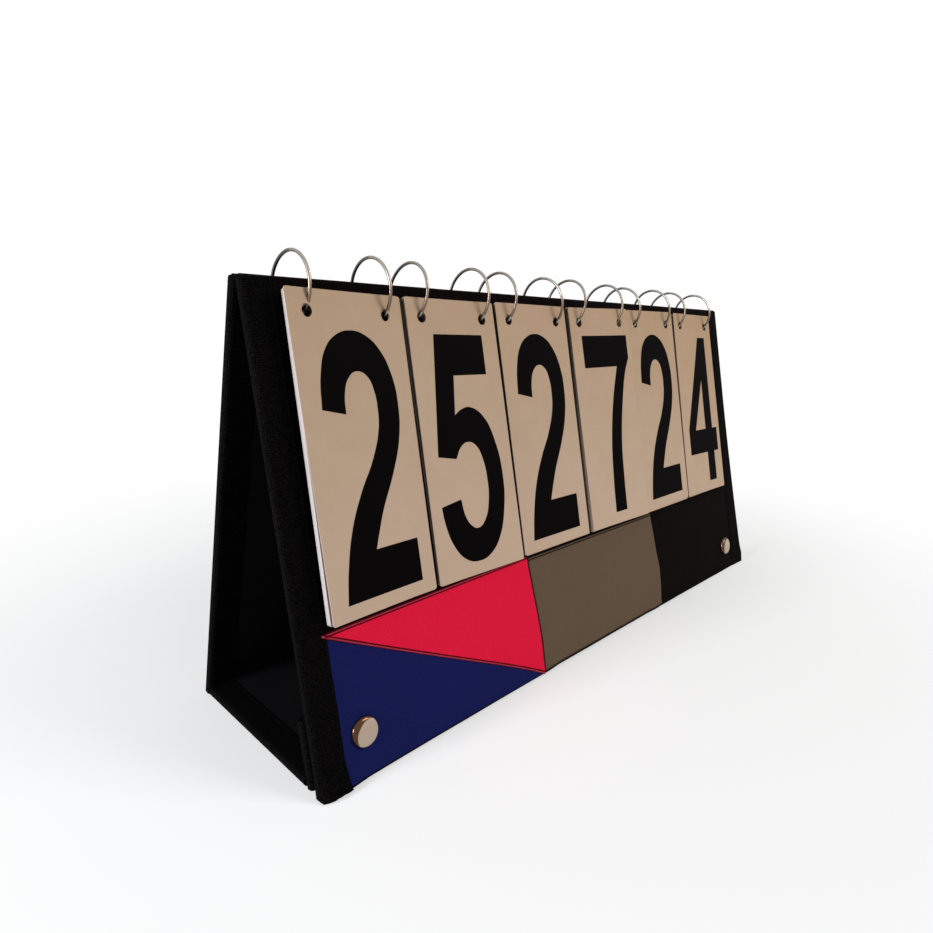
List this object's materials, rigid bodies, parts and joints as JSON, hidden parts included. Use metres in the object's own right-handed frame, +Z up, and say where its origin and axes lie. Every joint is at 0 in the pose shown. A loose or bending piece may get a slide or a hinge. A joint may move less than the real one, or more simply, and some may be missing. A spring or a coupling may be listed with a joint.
{
  "type": "tabletop flip scoreboard",
  "caption": "Folding A-shaped cloth-covered stand with stacks of numbered cards that flip over its ridge on book rings, closed below by a snap flap.",
  "frame": {"origin": "on the table, in the middle of the stand's length and depth", "axes": "+X to the right along the length, the numbers face -Y, +Z up"},
  "size_m": [0.457, 0.121, 0.2408],
  "materials": {
    "black_cloth": "plain-weave coated polyester cloth",
    "edge_tape": "coarse woven binding tape",
    "blue_cloth": "plain-weave polyester cloth",
    "red_cloth": "plain-weave polyester cloth",
    "grey_cloth": "plain-weave polyester cloth",
    "board_core": "dense grey board",
    "nickel": "polished nickel plate",
    "card_plastic": "satin white card",
    "number_ink": "satin black print"
  },
  "bodies": {
    "back_panel": {"back_board": "board_core", "back_cover": "black_cloth", "back_lining": "black_cloth", "back_tape_left": "edge_tape", "back_tape_right": "edge_tape", "ridge_strip": "black_cloth", "back_eyelets": "nickel", "back_washers": "nickel"},
    "front_panel": {"front_board": "board_core", "front_cover": "black_cloth", "front_lining": "black_cloth", "front_tape_left": "edge_tape", "front_tape_right": "edge_tape", "blue_patch": "blue_cloth", "red_patch": "red_cloth", "grey_patch": "grey_cloth", "black_patch": "black_cloth", "snap_caps": "nickel", "snap_sockets": "nickel", "front_eyelets": "nickel", "front_washers": "nickel", "card_pack_1": "card_plastic", "card_pack_2": "card_plastic", "card_pack_3": "card_plastic", "card_pack_4": "card_plastic", "card_pack_5": "card_plastic", "card_pack_6": "card_plastic"},
    "base_panel": {"base_board": "board_core", "base_cover": "black_cloth", "base_lining": "black_cloth", "base_tape_left": "edge_tape", "base_tape_right": "edge_tape", "rear_fold_strip": "black_cloth"},
    "snap_flap": {"flap_board": "board_core", "flap_cover": "black_cloth", "flap_lining": "black_cloth", "flap_tape_left": "edge_tape", "flap_tape_right": "edge_tape", "front_fold_strip": "black_cloth", "snap_studs": "nickel", "snap_posts": "nickel"},
    "ring_pair_1": {"book_rings_1": "nickel", "ring_pins_1": "nickel"},
    "flip_card_1": {"front_card_1": "card_plastic"},
    "ring_pair_2": {"book_rings_2": "nickel", "ring_pins_2": "nickel"},
    "flip_card_2": {"front_card_2": "card_plastic"},
    "ring_pair_3": {"book_rings_3": "nickel", "ring_pins_3": "nickel"},
    "flip_card_3": {"front_card_3": "card_plastic"},
    "ring_pair_4": {"book_rings_4": "nickel", "ring_pins_4": "nickel"},
    "flip_card_4": {"front_card_4": "card_plastic"},
    "ring_pair_5": {"book_rings_5": "nickel", "ring_pins_5": "nickel"},
    "flip_card_5": {"front_card_5": "card_plastic"},
    "ring_pair_6": {"book_rings_6": "nickel", "ring_pins_6": "nickel"},
    "flip_card_6": {"front_card_6": "card_plastic"}
  },
  "joints": [
    {"name": "front_swing", "type": "hinge", "parent": "back_panel", "child": "front_panel", "pos_m": [0, 0, 0.22808], "axis": [1, 0, 0], "range_deg": [-50, 0], "deforming": ["ridge_strip"]},
    {"name": "base_fold", "type": "hinge", "parent": "back_panel", "child": "base_panel", "pos_m": [0, 0.05347, 0.0048], "axis": [1, 0, 0], "range_deg": [-54, 0], "deforming": ["rear_fold_strip"]},
    {"name": "flap_fold", "type": "hinge", "parent": "base_panel", "child": "snap_flap", "pos_m": [0, -0.04576, 0.0048], "axis": [1, 0, 0], "range_deg": [-70, 0], "deforming": ["front_fold_strip"]},
    {"name": "ring_spin_1", "type": "hinge", "parent": "front_panel", "child": "ring_pair_1", "pos_m": [0, 0, 0.22368], "axis": [-1, 0, 0], "range_deg": [0, 271.11]},
    {"name": "card_flip_1", "type": "hinge", "parent": "ring_pair_1", "child": "flip_card_1", "pos_m": [0, -0.01225, 0.21324], "axis": [-1, 0, 0], "range_deg": [0, 61.69]},
    {"name": "ring_spin_2", "type": "hinge", "parent": "front_panel", "child": "ring_pair_2", "pos_m": [0, 0, 0.22368], "axis": [-1, 0, 0], "range_deg": [0, 271.11]},
    {"name": "card_flip_2", "type": "hinge", "parent": "ring_pair_2", "child": "flip_card_2", "pos_m": [0, -0.01225, 0.21324], "axis": [-1, 0, 0], "range_deg": [0, 61.69]},
    {"name": "ring_spin_3", "type": "hinge", "parent": "front_panel", "child": "ring_pair_3", "pos_m": [0, 0, 0.22368], "axis": [-1, 0, 0], "range_deg": [0, 271.11]},
    {"name": "card_flip_3", "type": "hinge", "parent": "ring_pair_3", "child": "flip_card_3", "pos_m": [0, -0.01225, 0.21324], "axis": [-1, 0, 0], "range_deg": [0, 61.69]},
    {"name": "ring_spin_4", "type": "hinge", "parent": "front_panel", "child": "ring_pair_4", "pos_m": [0, 0, 0.22368], "axis": [-1, 0, 0], "range_deg": [0, 271.11]},
    {"name": "card_flip_4", "type": "hinge", "parent": "ring_pair_4", "child": "flip_card_4", "pos_m": [0, -0.01225, 0.21324], "axis": [-1, 0, 0], "range_deg": [0, 61.69]},
    {"name": "ring_spin_5", "type": "hinge", "parent": "front_panel", "child": "ring_pair_5", "pos_m": [0, 0, 0.22368], "axis": [-1, 0, 0], "range_deg": [0, 271.11]},
    {"name": "card_flip_5", "type": "hinge", "parent": "ring_pair_5", "child": "flip_card_5", "pos_m": [0, -0.01225, 0.21324], "axis": [-1, 0, 0], "range_deg": [0, 61.69]},
    {"name": "ring_spin_6", "type": "hinge", "parent": "front_panel", "child": "ring_pair_6", "pos_m": [0, 0, 0.22368], "axis": [-1, 0, 0], "range_deg": [0, 271.11]},
    {"name": "card_flip_6", "type": "hinge", "parent": "ring_pair_6", "child": "flip_card_6", "pos_m": [0, -0.01225, 0.21324], "axis": [-1, 0, 0], "range_deg": [0, 61.69]}
  ],
  "couplings": [
    {"joint": "base_fold", "follows": "front_swing", "ratio": 1.08},
    {"joint": "card_flip_1", "follows": "ring_spin_1", "ratio": 0.22755},
    {"joint": "card_flip_2", "follows": "ring_spin_2", "ratio": 0.22755},
    {"joint": "card_flip_3", "follows": "ring_spin_3", "ratio": 0.22755},
    {"joint": "card_flip_4", "follows": "ring_spin_4", "ratio": 0.22755},
    {"joint": "card_flip_5", "follows": "ring_spin_5", "ratio": 0.22755},
    {"joint": "card_flip_6", "follows": "ring_spin_6", "ratio": 0.22755}
  ]
}
